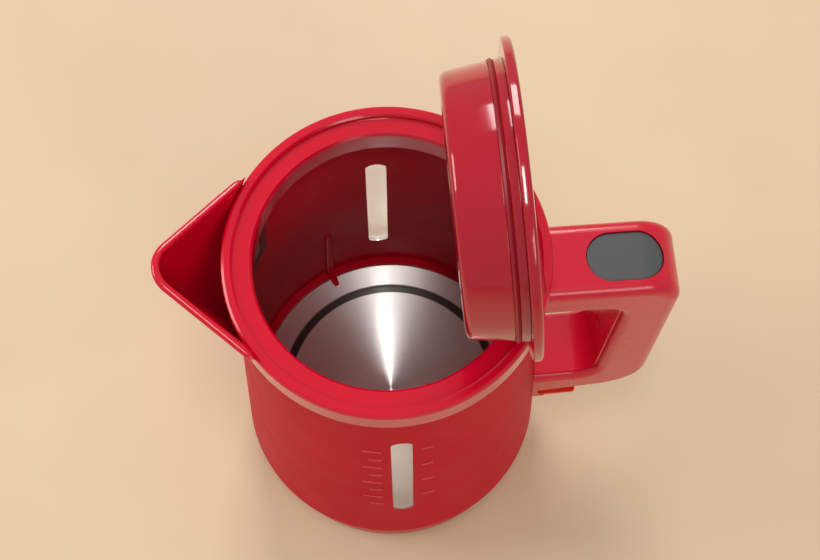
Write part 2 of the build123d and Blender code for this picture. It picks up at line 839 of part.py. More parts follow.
# Rubber bush that the mains lead leaves through.
with BuildPart() as cord_gland:
    with BuildSketch(Plane.XZ.offset(-base_radius - gland_length / 2)):
        with Locations((0, gland_height)):
            Circle(gland_radius - gland_flange)
    extrude(amount=gland_length + 2.0)
    with BuildSketch(Plane.XZ.offset(-base_radius - 2.0)):
        with Locations((0, gland_height)):
            Circle(gland_radius)
    extrude(amount=1.9)
    with BuildSketch(Plane.XZ.offset(-base_radius - gland_length / 2)):
        with Locations((0, gland_height)):
            Circle(gland_bore)
    extrude(amount=gland_length + 2.0, mode=Mode.SUBTRACT)

with BuildPart() as base_plate:
    with BuildSketch(Plane.XY.offset(plate_bottom)):
        Circle(base_radius - base_wall - assembly_gap)
    extrude(amount=plate_height)
    with BuildSketch(Plane.XY.offset(plate_bottom)):
        with PolarLocations(base_boss_circle, arm_count, start_angle=base_screw_start):
            Circle(screw_radius + fixed_clearance)
    extrude(amount=plate_height, mode=Mode.SUBTRACT)
    with BuildSketch(Plane.XY.offset(plate_bottom)):
        with PolarLocations(base_boss_circle, arm_count, start_angle=base_screw_start):
            Circle(screw_recess)
    extrude(amount=1.0, mode=Mode.SUBTRACT)
    with BuildSketch(Plane.XY.offset(plate_bottom)):
        Circle(foot_circle + foot_half + fixed_clearance)
        Circle(foot_circle - foot_half - fixed_clearance, mode=Mode.SUBTRACT)
    extrude(amount=foot_seat, mode=Mode.SUBTRACT)
    # Pillar that holds the connector tower up against the cover.
    with BuildSketch(Plane.XY.offset(plate_bottom + plate_height)):
        Circle(tower_radius - 2.0)
        Circle(tower_radius - 4.0, mode=Mode.SUBTRACT)
    extrude(amount=base_height - base_wall - tower_root - plate_bottom - plate_height)

with BuildPart() as foot_ring:
    with BuildSketch(Plane.XY):
        Circle(foot_circle + foot_half)
        Circle(foot_circle - foot_half, mode=Mode.SUBTRACT)
    extrude(amount=plate_bottom + foot_seat)

with BuildPart() as base_screws:
    with BuildSketch(Plane.XY.offset(plate_bottom)):
        with PolarLocations(base_boss_circle, arm_count, start_angle=base_screw_start):
            Circle(screw_head_radius)
    extrude(amount=screw_head_height)
    with BuildSketch(Plane.XY.offset(plate_bottom + screw_head_height)):
        with PolarLocations(base_boss_circle, arm_count, start_angle=base_screw_start):
            Circle(screw_radius)
    extrude(amount=base_screw_length)

terminal_y = tower_radius + 14.0
terminal_width = 24.0
terminal_depth = 12.0
terminal_height = 7.0
terminal_pitch = 8.0
terminal_bore = 2.2
terminal_bore_depth = 4.0
terminal_bottom = plate_bottom + plate_height + assembly_gap
terminal_top = terminal_bottom + terminal_height
terminal_spots = [(step * terminal_pitch, terminal_y) for step in (-1, 0, 1)]
with BuildPart() as terminal_block:
    with BuildSketch(Plane.XY.offset(terminal_bottom)):
        with Locations((0, terminal_y)):
            Rectangle(terminal_width, terminal_depth)
    extrude(amount=terminal_height)
    with BuildSketch(Plane.XY.offset(terminal_top)):
        with Locations(*terminal_spots):
            Circle(terminal_bore)
    extrude(amount=-terminal_bore_depth, mode=Mode.SUBTRACT)

with BuildPart() as terminal_screws:
    with BuildSketch(Plane.XY.offset(terminal_top - terminal_bore_depth)):
        with Locations(*terminal_spots):
            Circle(terminal_bore - assembly_gap)
    extrude(amount=terminal_bore_depth - 1.0)

wire_radius = 0.9
wire_height = base_height - base_wall - tower_root + 1.8
with BuildPart() as base_wires:
    for wire_x in (-5.0, 0.0, 5.0):
        wire_start = sqrt(tower_radius**2 - max(abs(wire_x) - wire_radius, 0) ** 2) + fixed_clearance
        with BuildSketch(Plane.XZ.offset(-wire_start)):
            with Locations((wire_x, wire_height)):
                Circle(wire_radius)
        extrude(amount=-(terminal_y - terminal_depth / 2 - wire_start))

# ---------------------------------------------------------------- handle
spine_half = 6.0  # half width of the spine that carries the switch's wires down to the foot
spine_depth = 9.0
spine_bottom = 3.0
spine_wall = 2.0
handle_root = opening_radius
arm_bottom = arm_top - top_arm_thickness
lower_grip_x = grip_x - 4.5
outer_points = (
    (handle_root, arm_top + 0.5),
    (grip_x, arm_top - 3.0),
    (lower_grip_x, low_arm_bottom + 6.5),
    (handle_root, low_arm_bottom - 1.5),
)
outer_radii = (17.0, 24.0)
inner_points = (
    (handle_root, low_arm_top),
    (lower_grip_x - grip_thickness, low_arm_top),
    (grip_x - grip_thickness, arm_bottom - 2.0),
    (handle_root, arm_bottom),
)
inner_radii = (10.0, 10.0)


def handle_loop(outer_inset, inner_inset):
    """Face between the handle's outer outline and its finger side, each moved into the plastic."""
    outer = (
        (outer_points[0][0], outer_points[0][1] - outer_inset),
        (outer_points[1][0] - outer_inset, outer_points[1][1] - outer_inset),
        (outer_points[2][0] - outer_inset, outer_points[2][1] + outer_inset),
        (outer_points[3][0], outer_points[3][1] + outer_inset),
    )
    inner = (
        (inner_points[0][0], inner_points[0][1] - inner_inset),
        (inner_points[1][0] + inner_inset, inner_points[1][1] - inner_inset),
        (inner_points[2][0] + inner_inset, inner_points[2][1] + inner_inset),
        (inner_points[3][0], inner_points[3][1] + inner_inset),
    )
    with BuildSketch(jug_section) as loop:
        with BuildLine():
            shell = FilletPolyline(*outer, radius=[r - outer_inset for r in outer_radii])
            finger = FilletPolyline(*inner, radius=[r + inner_inset for r in inner_radii])
            Line(shell @ 1, finger @ 0)
            Line(finger @ 1, shell @ 0)
        make_face()
    return loop.sketch


def finger_strip(inset):
    """Face of the cover that lines the finger side of the handle."""
    inner = []
    for shift in (0.0, inset):
        inner.append(
            (
                (inner_points[0][0], inner_points[0][1] - shift),
                (inner_points[1][0] + shift, inner_points[1][1] - shift),
                (inner_points[2][0] + shift, inner_points[2][1] + shift),
                (inner_points[3][0], inner_points[3][1] + shift),
            )
        )
    with BuildSketch(jug_section) as strip:
        with BuildLine():
            face_side = FilletPolyline(*inner[0], radius=list(inner_radii))
            back_side = FilletPolyline(*inner[1], radius=[r + inset for r in inner_radii])
            Line(face_side @ 0, back_side @ 0)
            Line(face_side @ 1, back_side @ 1)
        make_face()
    return strip.sketch


button_x = grip_x - button_end_inset - button_length / 2
button_wall_low = arm_top - 11.0
screw_spots = ((grip_x - 1.0, 130.0), (grip_x - 3.0, 95.0))
boss_root = 2.0  # boss's root inside the grip's slanted outer wall
boss_radius = 3.4
cover_screw_head = 2.8
cover_screw_length = 9.0
spring_seat_x = button_x + 8.5
spine_face = wall_radius(low_arm_bottom) + spine_depth
switch_pin_x = wall_radius(low_arm_bottom) + 2.5
switch_pin_z = low_arm_bottom - 2.5
finger_slot = (spine_face + 2.0, spine_face + 8.5)

with BuildPart() as handle_shell:
    extrude(handle_loop(0.0, 0.0), amount=handle_half, both=True)
    long_edges = [
        edge
        for side in (0, -1)
        for edge in handle_shell.faces().sort_by(Axis.Y)[side].outer_wire().edges()
        if edge.center().X > handle_root + 0.1
    ]
    fillet(long_edges, handle_edge)
    # Spine that carries the switch's wires down to the skirt.
    with BuildSketch(jug_section):
        with BuildLine():
            Polyline(
                (opening_radius, spine_bottom),
                (body_foot_radius + spine_depth - 3.0, spine_bottom),
                (spine_face, low_arm_bottom),
                (spine_face, low_arm_bottom + 4.0),
                (opening_radius, low_arm_bottom + 4.0),
                close=True,
            )
        make_face()
    extrude(amount=spine_half, both=True)
    hollow = handle_loop(handle_wall, -2.0)
    extrude(hollow, amount=handle_half - handle_wall, both=True, mode=Mode.SUBTRACT)
    with BuildSketch(jug_section):
        with BuildLine():
            Polyline(
                (opening_radius, spine_bottom + spine_wall),
                (body_foot_radius + spine_depth - 3.0 - spine_wall, spine_bottom + spine_wall),
                (spine_face - spine_wall, low_arm_bottom),
                (spine_face - spine_wall, low_arm_bottom + 6.0),
                (opening_radius, low_arm_bottom + 6.0),
                close=True,
            )
        make_face()
    extrude(amount=spine_half - spine_wall, both=True, mode=Mode.SUBTRACT)
    # Seat of the latch spring, and bosses of the two cover screws.
    tube_edge = steam_y - steam_radius - 1.0
    side_block(
        (tube_edge - handle_half + handle_wall) / 2,
        (tube_edge + handle_half - handle_wall) / 2,
        (spring_seat_x, arm_top - 21.0),
        (spring_seat_x + 1.6, arm_top - 21.0),
        (spring_seat_x + 1.6, arm_top - 14.0),
        (spring_seat_x, arm_top - 14.0),
    )
    for boss_x, boss_z in screw_spots:
        with BuildSketch(Plane.YZ.offset(boss_x - boss_root)):
            with Locations((0, foot_z + boss_z)):
                Circle(boss_radius)
                Circle(screw_radius + fixed_clearance, mode=Mode.SUBTRACT)
        extrude(amount=-(grip_thickness - handle_wall - boss_root - 3.0))
    # Opening for the button.
    with BuildSketch(level(button_wall_low)):
        with Locations((button_x, 0)):
            SlotOverall(button_length + 2 * button_gap, button_width + 2 * button_gap)
    extrude(amount=jug_height, mode=Mode.SUBTRACT)
    # Slot that the switch lever's finger passes through.
    side_block(
        0,
        spine_half - spine_wall,
        (finger_slot[0], low_arm_bottom - 4.0),
        (finger_slot[1], low_arm_bottom - 4.0),
        (finger_slot[1], low_arm_bottom + 6.0),
        (finger_slot[0], low_arm_bottom + 6.0),
        mode=Mode.SUBTRACT,
    )
    # Bore of the switch pin through the spine.
    with BuildSketch(Plane.XZ):
        with Locations((switch_pin_x, foot_z + switch_pin_z)):
            Circle(switch_pin_radius + fixed_clearance)
    extrude(amount=handle_half, both=True, mode=Mode.SUBTRACT)
    cut_envelope(assembly_gap)

with BuildPart() as handle_cover:
    extrude(finger_strip(handle_wall), amount=handle_half - handle_wall - cover_clearance, both=True)
    for boss_x, boss_z in screw_spots:
        with BuildSketch(Plane.YZ.offset(boss_x - grip_thickness - 8.0)):
            with Locations((0, foot_z + boss_z)):
                Circle(screw_radius + fixed_clearance)
        extrude(amount=grip_thickness, mode=Mode.SUBTRACT)
        with BuildSketch(Plane.YZ.offset(boss_x - grip_thickness - 8.0)):
            with Locations((0, foot_z + boss_z)):
                Circle(cover_screw_head + assembly_gap)
        extrude(amount=9.6, mode=Mode.SUBTRACT)
    cut_envelope(assembly_gap)

with BuildPart() as handle_screws:
    for boss_x, boss_z in screw_spots:
        with BuildSketch(Plane.YZ.offset(boss_x - grip_thickness + 1.0)):
            with Locations((0, foot_z + boss_z)):
                Circle(cover_screw_head)
        extrude(amount=0.6)
        with BuildSketch(Plane.YZ.offset(boss_x - grip_thickness + 1.6)):
            with Locations((0, foot_z + boss_z)):
                Circle(screw_radius)
        extrude(amount=cover_screw_length)

# Duct that leads steam from the top of the jug to the switch.
duct_bend = 8.0
duct_landing = 8.5  # run from the last bend's corner to the mouth
duct_mouth_gap = 1.8  # duct's mouth to the switch block, with the steam bimetal between
duct_inset = 9.5  # duct's middle inside the grip's outer face
switch_block_x = finger_slot[1] - 1.5
steam_end = lower_grip_x - duct_inset - duct_landing
switch_block_length = steam_end - duct_mouth_gap - switch_block_x
switch_block_low = low_arm_bottom + 8.5
with BuildPart() as steam_tube:
    with BuildLine():
        duct = FilletPolyline(
            (wall_radius(steam_level, body_wall) - 1.0, steam_y, foot_z + steam_level),
            (grip_x - 10.0, steam_y, foot_z + steam_level),
            (lower_grip_x - duct_inset, steam_y, foot_z + low_arm_bottom + 12.0),
            (steam_end, steam_y, foot_z + low_arm_bottom + 12.0),
            radius=duct_bend,
        )
    with BuildSketch(Plane(origin=duct @ 0, z_dir=duct % 0)):
        Circle(steam_radius)
        Circle(steam_radius - 0.8, mode=Mode.SUBTRACT)
    sweep()

# ---------------------------------------------------------------- switch
with BuildPart() as switch_block:
    side_block(
        0,
        11.0,
        (switch_block_x, switch_block_low),
        (switch_block_x + switch_block_length, switch_block_low),
        (switch_block_x + switch_block_length, switch_block_low + 10.5),
        (switch_block_x, switch_block_low + 10.5),
    )

with BuildPart() as steam_bimetal:
    with BuildSketch(Plane.YZ.offset(switch_block_x + switch_block_length + 0.2)):
        with Locations((steam_y - 5.0, foot_z + switch_block_low + 5.0)):
            Circle(disc_radius)
    extrude(amount=0.6)

with BuildPart() as switch_wires:
    for wire_y in (-2.2, 2.2):
        with BuildLine():
            lead = FilletPolyline(
                (switch_block_x, wire_y, foot_z + switch_block_low + 3.0),
                (spine_face - spine_wall - 1.0, wire_y, foot_z + switch_block_low + 3.0),
                (body_foot_radius + 2.0, wire_y, foot_z + wire_level),
                (control_radius + assembly_gap, wire_y, foot_z + wire_level),
                radius=4.0,
            )
        with BuildSketch(Plane(origin=lead @ 0, z_dir=lead % 0)):
            Circle(wire_radius)
        sweep(path=lead)

with BuildPart() as switch_pin:
    with BuildSketch(Plane.XZ):
        with Locations((switch_pin_x, foot_z + switch_pin_z)):
            Circle(switch_pin_radius)
    extrude(amount=handle_half - 1.0, both=True)

lever_start = switch_pin_x - 1.7
lever_end = spine_face + 9.0
lever_top = switch_pin_z + 1.4
with BuildPart() as switch_lever:
    with BuildSketch(level(lever_top - switch_thickness)):
        with Locations(((lever_start + lever_end) / 2, 0)):
            RectangleRounded(lever_end - lever_start, handle_width, 1.5)
        with Locations(((lever_start + spine_face + 0.8) / 2 - 5.0, 0)):
            Rectangle(
                spine_face + 0.8 - lever_start + 10.0,
                2 * spine_half + 2 * running_gap,
                mode=Mode.SUBTRACT,
            )
    extrude(amount=switch_thickness)
    fillet(
        switch_lever.edges().filter_by(Axis.Y).group_by(Axis.X)[-1].sort_by(Axis.Z)[0],
        2.2,
    )
    side_block(
        0,
        3.4,
        (finger_slot[0] + 1.5, lever_top - 1.0),
        (finger_slot[0] + 5.0, lever_top - 1.0),
        (finger_slot[0] + 5.0, switch_block_low - running_gap),
        (finger_slot[0] + 1.5, switch_block_low - running_gap),
    )
    with BuildSketch(Plane.XZ):
        with Locations((switch_pin_x, foot_z + switch_pin_z)):
            Circle(switch_pin_radius + pin_clearance)
    extrude(amount=handle_width, both=True, mode=Mode.SUBTRACT)

# ---------------------------------------------------------------- release button and latch
slider_half = 6.0
slider_low = arm_bottom + 2.3
slider_bar = 3.2
ramp_x = button_x - 11.2
ramp_rise = 6.7
leg_low = slider_low + slider_bar + 0.4
with BuildPart() as release_button:
    extrude(handle_loop(button_recess, 0.0), amount=button_width, both=True)
    under_button = handle_loop(button_recess + button_thickness, -5.0)
    extrude(under_button, amount=button_width * 1.1, both=True, mode=Mode.SUBTRACT)
    with BuildSketch(level(arm_top - 18.0)):
        with Locations((button_x, 0)):
            SlotOverall(button_length, button_width)
    extrude(amount=30.0, mode=Mode.INTERSECT)
    # Leg whose sloping face pushes the latch back as the button goes down.
    leg_slope_x = ramp_x + leg_low - slider_low - 0.4
    leg_top = arm_top - 8.5
    side_block(
        0,
        3.0,
        (leg_slope_x - 5.5, leg_top),
        (leg_slope_x - 5.5, leg_low),
        (leg_slope_x, leg_low),
        (leg_slope_x + leg_top - 1.0 - leg_low, leg_top - 1.0),
        (leg_slope_x + leg_top - 1.0 - leg_low, leg_top),
    )

latch_tip = plug_radius_at(catch_high) + running_gap
latch_back = wall_radius(latch_high, body_wall) - button_travel - 0.6
with BuildPart() as latch_slider:
    side_block(
        0,
        slider_half,
        (latch_tip, latch_low + running_gap),
        (latch_tip, latch_high + 1.2),
        (latch_tip + 1.0, latch_high + 2.2),
        (latch_back, latch_high + 2.2),
        (latch_back, latch_high - running_gap),
        (ramp_x - 12.0, latch_high - running_gap),
        (ramp_x - 12.0, slider_low + slider_bar),
        (ramp_x + slider_bar, slider_low + slider_bar),
        (ramp_x + ramp_rise, slider_low + ramp_rise),
        (ramp_x + ramp_rise + 3.5, slider_low + ramp_rise),
        (ramp_x + ramp_rise + 3.5, slider_low),
        (ramp_x - 15.0, slider_low),
        (ramp_x - 15.0, latch_low + running_gap),
    )
    # Window that the button's leg dips into.
    side_block(
        0,
        3.5,
        (ramp_x - 8.0, slider_low - 1.0),
        (ramp_x - 1.0, slider_low - 1.0),
        (ramp_x + slider_bar, slider_low + slider_bar),
        (ramp_x - 8.0, slider_low + slider_bar),
        mode=Mode.SUBTRACT,
    )

latch_spring_start = ramp_x + ramp_rise + 3.5 + running_gap
latch_spring_length = spring_seat_x - running_gap - latch_spring_start
with BuildPart() as latch_spring:
    with BuildLine():
        latch_coil = Helix(
            latch_spring_length / 5,
            latch_spring_length,
            2.0,
            center=(latch_spring_start, 0, foot_z + slider_low + 3.4),
            direction=(1, 0, 0),
        )
    with BuildSketch(Plane(origin=latch_coil @ 0, z_dir=latch_coil % 0)):
        Circle(0.35)
    sweep(is_frenet=True)

for name, piece in {
    "jug_body": jug_body,
    "window_near": windows["window_near"],
    "window_far": windows["window_far"],
    "collar_ring": collar_ring,
    "hinge_pin": hinge_pin,
    "lid_cover": lid_cover,
    "lid_plug": lid_plug,
    "lid_seal": lid_seal,
    "lid_spring": lid_spring,
    "filter_frame": filter_frame,
    "filter_mesh": filter_mesh,
    "heater_plate": heater_plate,
    "plate_seal": plate_seal,
    "clamp_ring": clamp_ring,
    "heat_spreader": heat_spreader,
    "heating_element": heating_element,
    "element_pins": element_pins,
    "control_housing": control_housing,
    "cutout_discs": cutout_discs,
    "bottom_cover": bottom_cover,
    "bottom_screws": bottom_screws,
    "connector_socket": connector_socket,
    "socket_contacts": socket_contacts,
    "base_connector": base_connector,
    "base_contacts": base_contacts,
    "base_cover": base_cover,
    "cord_gland": cord_gland,
    "base_plate": base_plate,
    "foot_ring": foot_ring,
    "base_screws": base_screws,
    "terminal_block": terminal_block,
    "terminal_screws": terminal_screws,
    "base_wires": base_wires,
    "handle_shell": handle_shell,
    "handle_cover": handle_cover,
    "handle_screws": handle_screws,
    "release_button": release_button,
    "latch_slider": latch_slider,
    "latch_spring": latch_spring,
    "steam_tube": steam_tube,
    "switch_block": switch_block,
    "steam_bimetal": steam_bimetal,
    "switch_wires": switch_wires,
    "switch_pin": switch_pin,
    "switch_lever": switch_lever,
}.items():
    piece.part.label = name
    export_step(piece.part, f"parts/{name}.step")
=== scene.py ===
"""Looks of the electric kettle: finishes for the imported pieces, moulded details, and the studio stage."""

import json
from math import cos, pi, radians, sin, sqrt, tan

import bmesh
import bpy
from bpy.props import FloatProperty, FloatVectorProperty, IntProperty, PointerProperty
from bpy.types import Operator, Panel, PropertyGroup
from mathutils import Matrix, Vector


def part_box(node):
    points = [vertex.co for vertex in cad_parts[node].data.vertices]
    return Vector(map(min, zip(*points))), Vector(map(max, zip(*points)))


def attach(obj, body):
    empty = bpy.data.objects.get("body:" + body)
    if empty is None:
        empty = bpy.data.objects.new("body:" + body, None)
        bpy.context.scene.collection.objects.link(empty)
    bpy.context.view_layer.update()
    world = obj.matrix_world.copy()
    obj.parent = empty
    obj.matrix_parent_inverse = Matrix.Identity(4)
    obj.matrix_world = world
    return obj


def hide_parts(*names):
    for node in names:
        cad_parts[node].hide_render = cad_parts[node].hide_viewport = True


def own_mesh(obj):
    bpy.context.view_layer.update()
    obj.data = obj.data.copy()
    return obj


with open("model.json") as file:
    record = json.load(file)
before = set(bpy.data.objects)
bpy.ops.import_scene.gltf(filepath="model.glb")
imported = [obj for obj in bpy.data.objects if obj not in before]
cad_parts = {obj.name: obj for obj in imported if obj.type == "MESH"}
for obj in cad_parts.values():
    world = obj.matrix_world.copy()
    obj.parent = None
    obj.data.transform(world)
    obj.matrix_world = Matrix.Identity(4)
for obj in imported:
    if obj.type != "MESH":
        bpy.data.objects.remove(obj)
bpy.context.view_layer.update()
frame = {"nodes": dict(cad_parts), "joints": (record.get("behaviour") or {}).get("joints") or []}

bl_info = {
    "name": "Electric Kettle Finishes",
    "version": (1, 0, 0),
    "blender": (4, 5, 0),
    "location": "View3D > Sidebar > Kettle",
    "description": "Finishes, moulded details and studio stage of a plastic jug kettle",
    "category": "Object",
}

MM = 0.001


# ---------------------------------------------------------------- places read from the frame
def joint(name):
    """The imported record's entry for a joint."""
    return next(entry for entry in frame["joints"] if entry["name"] == name)


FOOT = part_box("jug_body")[0].z
SHOULDER_RISE = 2 * MM  # hinge shoulders above the rim
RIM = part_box("collar_ring")[1].z - SHOULDER_RISE
COLLAR_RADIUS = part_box("collar_ring")[1].y
FOOT_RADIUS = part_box("jug_body")[1].y
NOSE_X = -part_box("jug_body")[0].x
NOSE_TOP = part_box("jug_body")[1].z
FLOOR_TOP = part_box("heater_plate")[1].z
FOOT_ROUNDING = 12 * MM
COLLAR_HEIGHT = 10 * MM
COLLAR_OVERHANG = 4.1 * MM
BODY_WALL = 2.6 * MM
SPOUT_WALL = 2.4 * MM
SPOUT_NOSE = 12.5 * MM  # plan radius of the nose's outside
SPOUT_HALF_ANGLE = radians(42.6)  # between the spout's middle and each side
SPOUT_ROOT = 47.25 * MM  # from the axis to where the spout's edge is level with the rim
PLUG_DRAFT = 3.2 * MM  # lid plug's radius lost from top to bottom
BARREL = (1.7 * MM, 4 * MM, 6 * MM, 20.2 * MM)  # hinge barrel's bore, radius, inner and outer end
GROOVE = (47.5 * MM, 51.5 * MM)  # inner and outer radius of the floor's groove
HINGE = Vector(joint("lid_hinge")["pos_m"])
OPEN_ANGLE = radians(-joint("lid_hinge")["range_deg"][0])

# The lid's own frame: origin on the kettle's axis, level with the hinge when the lid is shut.
LID = (
    Matrix.Translation(HINGE)
    @ Matrix.Rotation(OPEN_ANGLE, 4, "Y")
    @ Matrix.Translation((-HINGE.x, 0, 0))
)


def box_in(node, place):
    """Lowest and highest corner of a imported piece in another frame."""
    back = place.inverted()
    points = [back @ vertex.co for vertex in frame["nodes"][node].data.vertices]
    return (
        Vector(min(point[axis] for point in points) for axis in range(3)),
        Vector(max(point[axis] for point in points) for axis in range(3)),
    )


# ---------------------------------------------------------------- user's sizes and colours
class KettleSizes(PropertyGroup):
    """Sizes of the moulded details."""

    lip_width: FloatProperty(
        name="Spout lip width",
        description="Width of the rounded lip along the spout's edge",
        default=3.4 * MM,
        min=1 * MM,
        unit="LENGTH",
        precision=4,
    )
    lip_height: FloatProperty(
        name="Spout lip height",
        description="Height of the rounded lip's section",
        default=2.6 * MM,
        min=1 * MM,
        unit="LENGTH",
        precision=4,
    )
    plug_rounding: FloatProperty(
        name="Plug rounding",
        description="Radius of the lid plug's lower edge",
        default=3.2 * MM,
        min=0.5 * MM,
        unit="LENGTH",
        precision=4,
    )
    cover_rounding: FloatProperty(
        name="Cover rounding",
        description="Radius of the lid cover's upper edge",
        default=1.5 * MM,
        min=0.2 * MM,
        unit="LENGTH",
        precision=4,
    )
    mark_relief: FloatProperty(
        name="Mark relief",
        description="How far the level marks stand out of the wall",
        default=0.25 * MM,
        min=0.05 * MM,
        unit="LENGTH",
        precision=5,
    )
    clip_height: FloatProperty(
        name="Clip height",
        description="Height of the rib that carries the floor's clip",
        default=60 * MM,
        min=15 * MM,
        unit="LENGTH",
    )
    clip_width: FloatProperty(
        name="Clip width",
        description="Width of the rib and its clip",
        default=5 * MM,
        min=1 * MM,
        unit="LENGTH",
        precision=4,
    )
    spring_wire: FloatProperty(
        name="Spring wire",
        description="Wire thickness of the latch's return spring",
        default=0.7 * MM,
        min=0.2 * MM,
        unit="LENGTH",
        precision=5,
    )
    spring_turns: IntProperty(
        name="Spring turns",
        description="Turns of the latch's return spring",
        default=5,
        min=2,
        max=12,
    )
    level_marks: IntProperty(
        name="Level marks",
        description="Number of strokes beside each window",
        default=8,
        min=2,
        max=16,
    )


class KettleColours(PropertyGroup):
    """Colours of the kettle's finishes."""

    collar_red: FloatVectorProperty(
        name="Collar red",
        description="Glossy red of the collar and the spout's lip",
        subtype="COLOR",
        default=(0.60, 0.0, 0.022),
        min=0,
        max=1,
    )
    body_red: FloatVectorProperty(
        name="Body red",
        description="Red of the jug's wall and spout",
        subtype="COLOR",
        default=(0.58, 0.0, 0.018),
        min=0,
        max=1,
    )
    lid_red: FloatVectorProperty(
        name="Lid red",
        description="Red of the lid's plug and cover",
        subtype="COLOR",
        default=(0.42, 0.0, 0.018),
        min=0,
        max=1,
    )
    handle_red: FloatVectorProperty(
        name="Handle red",
        description="Red of the handle",
        subtype="COLOR",
        default=(0.62, 0.004, 0.03),
        min=0,
        max=1,
    )
    button_grey: FloatVectorProperty(
        name="Button grey",
        description="Anthracite of the release button",
        subtype="COLOR",
        default=(0.075, 0.085, 0.09),
        min=0,
        max=1,
    )
    floor: FloatVectorProperty(
        name="Stage floor",
        description="Plain pale colour of the floor that the kettle stands on",
        subtype="COLOR",
        default=(0.70, 0.55, 0.37),
        min=0,
        max=1,
    )


# ---------------------------------------------------------------- finishes
def empty_material(name):
    """A new material with its nodes, links and its one surface shader."""
    material = bpy.data.materials.new(name)
    material.use_nodes = True
    nodes = material.node_tree.nodes
    return material, nodes, material.node_tree.links, nodes["Principled BSDF"]


def object_noise(nodes, links, scale, detail=3.0, squeeze=(1, 1, 1)):
    """Noise fixed to the piece, at a number of features per metre."""
    place = nodes.new("ShaderNodeTexCoord")
    stretch = nodes.new("ShaderNodeMapping")
    stretch.inputs["Scale"].default_value = squeeze
    noise = nodes.new("ShaderNodeTexNoise")
    noise.inputs["Scale"].default_value = scale
    noise.inputs["Detail"].default_value = detail
    links.new(place.outputs["Object"], stretch.inputs["Vector"])
    links.new(stretch.outputs["Vector"], noise.inputs["Vector"])
    return noise.outputs["Fac"]


def ranged(nodes, links, source, low, high):
    """A factor spread over a range."""
    spread = nodes.new("ShaderNodeMapRange")
    spread.inputs["From Min"].default_value = 0.3
    spread.inputs["From Max"].default_value = 0.7
    spread.inputs["To Min"].default_value = low
    spread.inputs["To Max"].default_value = high
    links.new(source, spread.inputs["Value"])
    return spread.outputs["Result"]


def tinted(nodes, links, source, colour, depth):
    """Colour that drifts around its own value."""
    blend = nodes.new("ShaderNodeMix")
    blend.data_type = "RGBA"
    blend.inputs["A"].default_value = (*(max(c * (1 - depth), 0) for c in colour), 1)
    blend.inputs["B"].default_value = (*(min(c * (1 + depth), 1) for c in colour), 1)
    links.new(ranged(nodes, links, source, 0, 1), blend.inputs["Factor"])
    return blend.outputs["Result"]


def relief(nodes, links, source, shader, height):
    """Fine relief of a surface, as a bump of real height in metres."""
    bump = nodes.new("ShaderNodeBump")
    bump.inputs["Strength"].default_value = 1.0
    bump.inputs["Distance"].default_value = height
    links.new(source, bump.inputs["Height"])
    links.new(bump.outputs["Normal"], shader.inputs["Normal"])


def moulded_plastic(
    name, colour, rough, coat=0.0, grain=900.0, depth=1.5e-6, drift=0.03, shine=0.5, haze_by=0.06
):
    """Injection-moulded plastic: faint flow in the colour, uneven gloss and fine grain."""
    material, nodes, links, shader = empty_material(name)
    flow = object_noise(nodes, links, 14.0, 1.5)
    links.new(tinted(nodes, links, flow, colour, drift), shader.inputs["Base Color"])
    haze = object_noise(nodes, links, 45.0, 1.5)
    gloss = ranged(nodes, links, haze, rough * (1 - haze_by), rough * (1 + haze_by))
    links.new(gloss, shader.inputs["Roughness"])
    shader.inputs["IOR"].default_value = 1.5
    shader.inputs["Specular IOR Level"].default_value = shine
    shader.inputs["Coat Weight"].default_value = coat
    shader.inputs["Coat Roughness"].default_value = 0.06
    relief(nodes, links, object_noise(nodes, links, grain, 2.0), shader, depth)
    return material


def turned_metal(name, colour, rough, lines_per_metre, depth=4e-6):
    """Metal with tool marks that run round the piece's upright axis."""
    material, nodes, links, shader = empty_material(name)
    place = nodes.new("ShaderNodeTexCoord")
    level = nodes.new("ShaderNodeVectorMath")
    level.operation = "MULTIPLY"
    level.inputs[1].default_value = (1, 1, 0)
    radius = nodes.new("ShaderNodeVectorMath")
    radius.operation = "LENGTH"
    marks = nodes.new("ShaderNodeTexNoise")
    marks.noise_dimensions = "1D"
    marks.inputs["Scale"].default_value = lines_per_metre
    marks.inputs["Detail"].default_value = 5.0
    links.new(place.outputs["Object"], level.inputs[0])
    links.new(level.outputs["Vector"], radius.inputs[0])
    links.new(radius.outputs["Value"], marks.inputs["W"])
    ring = marks.outputs["Fac"]
    links.new(tinted(nodes, links, ring, colour, 0.10), shader.inputs["Base Color"])
    links.new(ranged(nodes, links, ring, rough * 0.75, rough * 1.3), shader.inputs["Roughness"])
    shader.inputs["Metallic"].default_value = 1.0
    relief(nodes, links, ring, shader, depth)
    return material, nodes, links, shader


